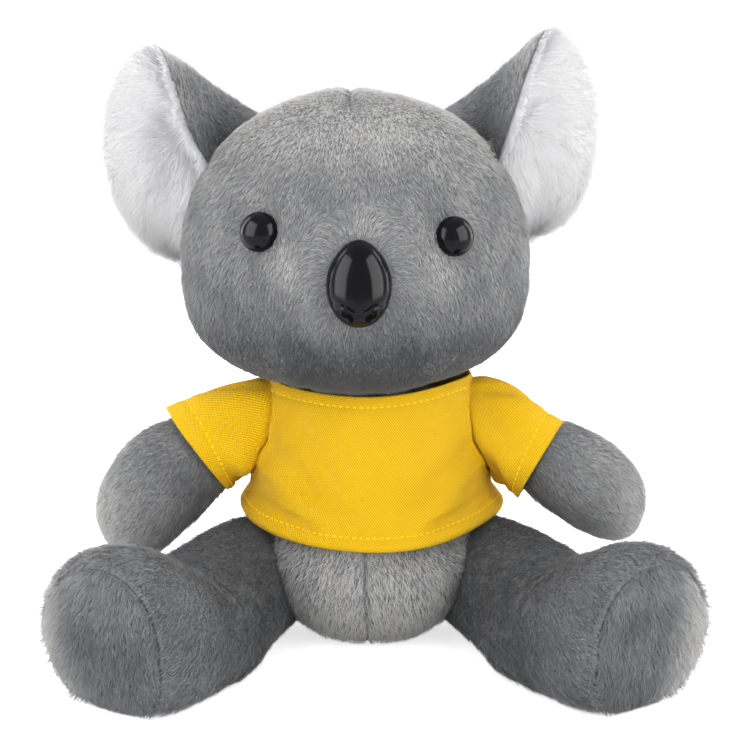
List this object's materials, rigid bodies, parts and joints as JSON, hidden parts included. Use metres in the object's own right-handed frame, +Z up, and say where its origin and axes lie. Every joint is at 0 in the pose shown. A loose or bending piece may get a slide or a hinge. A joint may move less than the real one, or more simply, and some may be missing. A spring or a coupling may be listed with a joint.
{
  "type": "plush koala",
  "caption": "Seated stuffed plush koala with large fluffy ears, button eyes, a moulded oval nose and a short-sleeved knitted shirt.",
  "frame": {"origin": "middle of the flat seat under the body, on the surface that the toy sits on", "axes": "+Z up, the face looks towards -Y, the toy's right-hand side of the picture is +X"},
  "size_m": [0.1851, 0.1381, 0.1786],
  "materials": {
    "grey_plush": "short grey plush pile",
    "white_plush": "longer white plush pile",
    "yellow_knit": "golden yellow fine rib jersey",
    "black_plastic": "polished black moulding",
    "clear_plastic": "natural moulding, unseen",
    "stuffing": "white polyester fibre, unseen"
  },
  "bodies": {
    "torso": {"body_cover": "grey_plush", "body_stuffing": "stuffing", "shirt_front": "yellow_knit", "shirt_back": "yellow_knit"},
    "head": {"head_cover": "grey_plush", "head_stuffing": "stuffing", "eye_left": "black_plastic", "eye_right": "black_plastic", "eye_washer_left": "clear_plastic", "eye_washer_right": "clear_plastic", "nose": "black_plastic", "nose_washer": "clear_plastic"},
    "ear_left": {"ear_back_left": "grey_plush", "ear_front_left": "white_plush"},
    "arm_left": {"arm_cover_left": "grey_plush", "arm_stuffing_left": "stuffing", "sleeve_left": "yellow_knit"},
    "leg_left": {"leg_cover_left": "grey_plush", "leg_stuffing_left": "stuffing", "foot_sole_left": "grey_plush"},
    "ear_right": {"ear_back_right": "grey_plush", "ear_front_right": "white_plush"},
    "arm_right": {"arm_cover_right": "grey_plush", "arm_stuffing_right": "stuffing", "sleeve_right": "yellow_knit"},
    "leg_right": {"leg_cover_right": "grey_plush", "leg_stuffing_right": "stuffing", "foot_sole_right": "grey_plush"}
  },
  "joints": [
    {"name": "head_turn", "type": "hinge", "parent": "torso", "child": "head", "pos_m": [-0.0025, -0.001, 0.077], "axis": [0, 0, 1], "range_deg": [-25, 25], "stiffness_Nm_per_rad": 0.06},
    {"name": "arm_left_swing", "type": "hinge", "parent": "torso", "child": "arm_left", "pos_m": [-0.0376, -0.003, 0.0627], "axis": [0, 1, 0], "range_deg": [-5, 35], "stiffness_Nm_per_rad": 0.08},
    {"name": "arm_right_swing", "type": "hinge", "parent": "torso", "child": "arm_right", "pos_m": [0.0372, -0.003, 0.0635], "axis": [0, -1, 0], "range_deg": [-5, 35], "stiffness_Nm_per_rad": 0.08},
    {"name": "leg_left_splay", "type": "hinge", "parent": "torso", "child": "leg_left", "pos_m": [-0.024, -0.0158, 0.0205], "axis": [0, 0, -1], "range_deg": [-9, 6], "stiffness_Nm_per_rad": 0.12},
    {"name": "leg_right_splay", "type": "hinge", "parent": "torso", "child": "leg_right", "pos_m": [0.0242, -0.0158, 0.0205], "axis": [0, 0, 1], "range_deg": [-9, 6], "stiffness_Nm_per_rad": 0.12},
    {"name": "ear_left_fold", "type": "hinge", "parent": "head", "child": "ear_left", "pos_m": [-0.05271, 0.0117, 0.10996], "axis": [-0.4443, -0.0138, -0.8958], "range_deg": [0, 18], "stiffness_Nm_per_rad": 0.04},
    {"name": "ear_right_fold", "type": "hinge", "parent": "head", "child": "ear_right", "pos_m": [0.04377, 0.0117, 0.11908], "axis": [-0.4294, 0.0148, 0.903], "range_deg": [0, 18], "stiffness_Nm_per_rad": 0.04}
  ]
}
